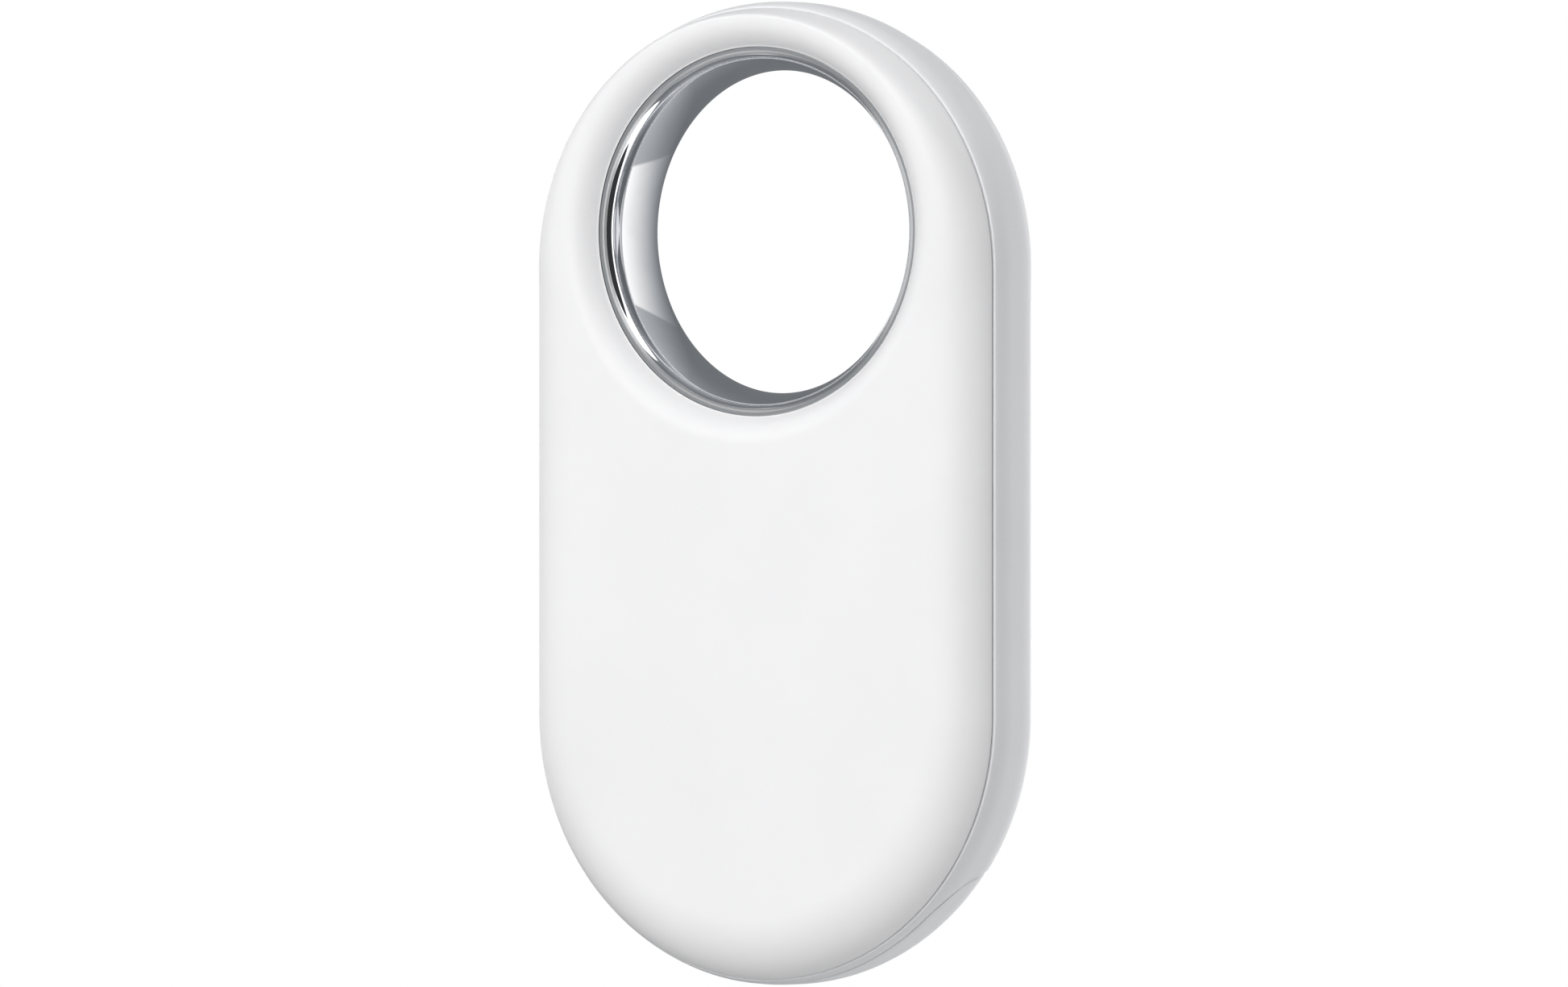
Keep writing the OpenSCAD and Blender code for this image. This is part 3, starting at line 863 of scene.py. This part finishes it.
# Each lamp's name, turn, rise, share of plain light and width
LAMPS = [
    ("key", 2, 18, 0.83, 0.5),
    ("top", 0, 84, 0.32, 0.5),
    ("rear_high", 160, 22, 0.35, 0.25),
    ("rear_low", 158, -27, 0.6, 0.25),
    ("rear_left", -100, 10, 0.1, 0.5),
]
ROOM_LIGHT = (0.21, 0.21, 0.214)
FLOOR_Z = -0.12
FLOOR_GLOW = 0.65
WALLS_R = 0.8


def aimed(turn, rise):
    """The direction of a turn and a rise."""
    turn, rise = math.radians(turn), math.radians(rise)
    return Vector(
        (math.sin(turn) * math.cos(rise), -math.cos(turn) * math.cos(rise), math.sin(rise))
    )


def facing_tag(made, turn, rise, distance):
    """Puts a camera or lamp at a distance from the tag, turned to it."""
    away = aimed(turn, rise)
    made.location = AIM + away * distance
    made.rotation_mode = "QUATERNION"
    made.rotation_quaternion = away.to_track_quat("Z", "Y")


def studio_camera():
    lens = bpy.data.cameras.new("camera")
    lens.lens, lens.sensor_width = LENS, 36.0
    lens.clip_start, lens.clip_end = 0.05, 10.0
    camera = bpy.data.objects.new("camera", lens)
    scene.collection.objects.link(camera)
    facing_tag(camera, CAMERA_TURN, 0, DISTANCE)
    scene.camera = camera


def soft_lamp(name, turn, rise, share, width):
    """A square lamp. Reflections don't show it: they show the studio walls."""
    light = bpy.data.lights.new(name, "AREA")
    light.shape, light.size = "SQUARE", width
    light.energy = share * (math.pi * LAMP_DISTANCE) ** 2
    lamp = bpy.data.objects.new(name, light)
    scene.collection.objects.link(lamp)
    facing_tag(lamp, turn, rise, LAMP_DISTANCE)
    lamp.visible_glossy = False


def staged(name, bm, material):
    """Adds a studio object of a bmesh in metres, which isn't part of the tag."""
    mesh = bpy.data.meshes.new(name)
    bm.to_mesh(mesh)
    bm.free()
    made = bpy.data.objects.new(name, mesh)
    scene.collection.objects.link(made)
    mesh.materials.append(material)
    return made


def studio_world():
    """White where the camera sees it, and a dim even light from all sides."""
    world = bpy.data.worlds.new("studio")
    scene.world = world
    world.use_nodes = True
    nodes = Nodes(world.node_tree)
    seen = nodes.add("ShaderNodeLightPath", output="Is Camera Ray")
    glossy = nodes.add("ShaderNodeLightPath", output="Is Glossy Ray")
    through = nodes.add("ShaderNodeLightPath", output="Is Transmission Ray")
    shown = seen.max(glossy).max(through)
    colour = nodes.mix(shown, ROOM_LIGHT, (1, 1, 1))
    background = nodes.add("ShaderNodeBackground", {}, {"Color": colour, "Strength": 1.0})
    out = world.node_tree.nodes.new("ShaderNodeOutputWorld")
    world.node_tree.links.new(background.socket, out.inputs["Surface"])


def studio_floor():
    """White paper well below the tag. It glows as white to the camera, and casts no shadow,
    so that rear_low can stand below it."""
    bm = bmesh.new()
    bmesh.ops.create_grid(bm, x_segments=1, y_segments=1, size=1.0)
    bmesh.ops.translate(bm, vec=(0, 0, FLOOR_Z), verts=bm.verts)
    pale = Finish("floor_paper", (0.45, 0.45, 0.45), 0.9)
    pale.set("Roughness", 0.88 + pale.noise(4.0) * 0.04)
    seen = pale.add("ShaderNodeLightPath", output="Is Camera Ray")
    pale.set("Emission Color", pale.mix(seen, (0, 0, 0), (1, 1, 1)))
    pale.set("Emission Strength", FLOOR_GLOW)
    # Open from below, so that the tag can be seen through it
    below = pale.add("ShaderNodeNewGeometry", output="Backfacing")
    pale.cover_with("ShaderNodeBsdfTransparent", below)
    floor = staged("floor", bm, pale.material)
    floor.visible_glossy = floor.visible_shadow = False


def studio_walls():
    """What the tag reflects: grey walls, a dark screen with a lit border at the right front,
    a window behind it that dims towards the back, and lit patches at the left."""
    bm = bmesh.new()
    bmesh.ops.create_uvsphere(bm, u_segments=64, v_segments=32, radius=WALLS_R)
    bmesh.ops.reverse_faces(bm, faces=bm.faces)
    glow = Finish("studio_glow", (0, 0, 0), 1.0, Specular_IOR_Level=0)
    across = glow.add("ShaderNodeSeparateXYZ", {}, {"Vector": glow.place})
    ahead, up = (Value(glow, across.socket.node.outputs[i]) for i in (1, 2))
    # How far above or below the horizon a place is, up to 1 at the poles
    far = abs(up / WALLS_R)
    turn = across.math("ARCTAN2", across, ahead * -1) * (180 / math.pi)

    def patch(at, wide, tall, power=2):
        """How far out of an oval patch a place is: below 1 inside, above 1 outside."""
        return (abs(turn - at) / wide) ** power + (far / tall) ** power

    # The walls are brighter at the poles, and at the right from where the window starts
    beside_window = ((180 - turn) / 77) * turn.above(103, 107)
    walls_light = 0.195 + far**8 * 0.2 + beside_window * 0.4

    # The window's lower and upper edge both rise a little towards the back
    facing = (across * 0.875 + ahead * 0.485).max(0.001)
    rise, along = up / facing, (turn - 110).max(0)
    over_sill = (rise - along * 0.0008).above(-0.68, -0.64)
    under_lintel = 1 - (rise - along * 0.0014).above(0.755, 0.795)
    window = turn.between(97, 179, 1) * over_sill * under_lintel
    window_light = 0.24 + ((178 - turn) / 70).max(0) ** 1.3 * 1.02

    screen = patch(45, 27, 0.57, 3)
    border = screen.between(1.0, 3.5, 0.12) * turn.above(1, 5)
    wedge = turn.between(-147, -104, 1) * (0.0095 * (turn + 147) - far).above(-0.02, 0.02)
    rear_oval = 1 - patch(-163, 16, 0.27).above(0.85, 1.15)
    left_oval = 1 - patch(-72, 20, 0.33).above(0.6, 1.2)
    front_panel = turn.between(-50, -8, 6) * (1 - far.above(0.36, 0.42))
    front_strips = turn.between(-52, -8, 5) * far.between(0.42, 0.7, 0.03)
    lit = (
        walls_light * (1 - window)
        + window_light * window
        + border * 1.5
        + wedge
        + rear_oval
        + left_oval * 0.9
        + front_panel * 0.23
        + front_strips * 0.8
    )
    level = lit * (1 - (1 - screen.above(0.9, 1.1)) * 0.78)

    # Dim light is cooler: each part's share at full light, and what it gains in dim light
    cool = 1 - level.above(0.15, 0.9)
    tints = {"Red": (1.005, -0.06), "Green": (0.997, 0.0), "Blue": (0.995, 0.055)}
    parts = {name: level * (share + cool * gain) for name, (share, gain) in tints.items()}
    glow.set("Emission Color", glow.add("ShaderNodeCombineColor", {}, parts))
    glow.set("Emission Strength", 1.0)
    walls = staged("studio_walls", bm, glow.material)
    walls.visible_camera = walls.visible_diffuse = walls.visible_shadow = False
    walls.visible_transmission = walls.visible_volume_scatter = False


studio_camera()
for lamp in LAMPS:
    soft_lamp(*lamp)
studio_world()
studio_floor()
studio_walls()
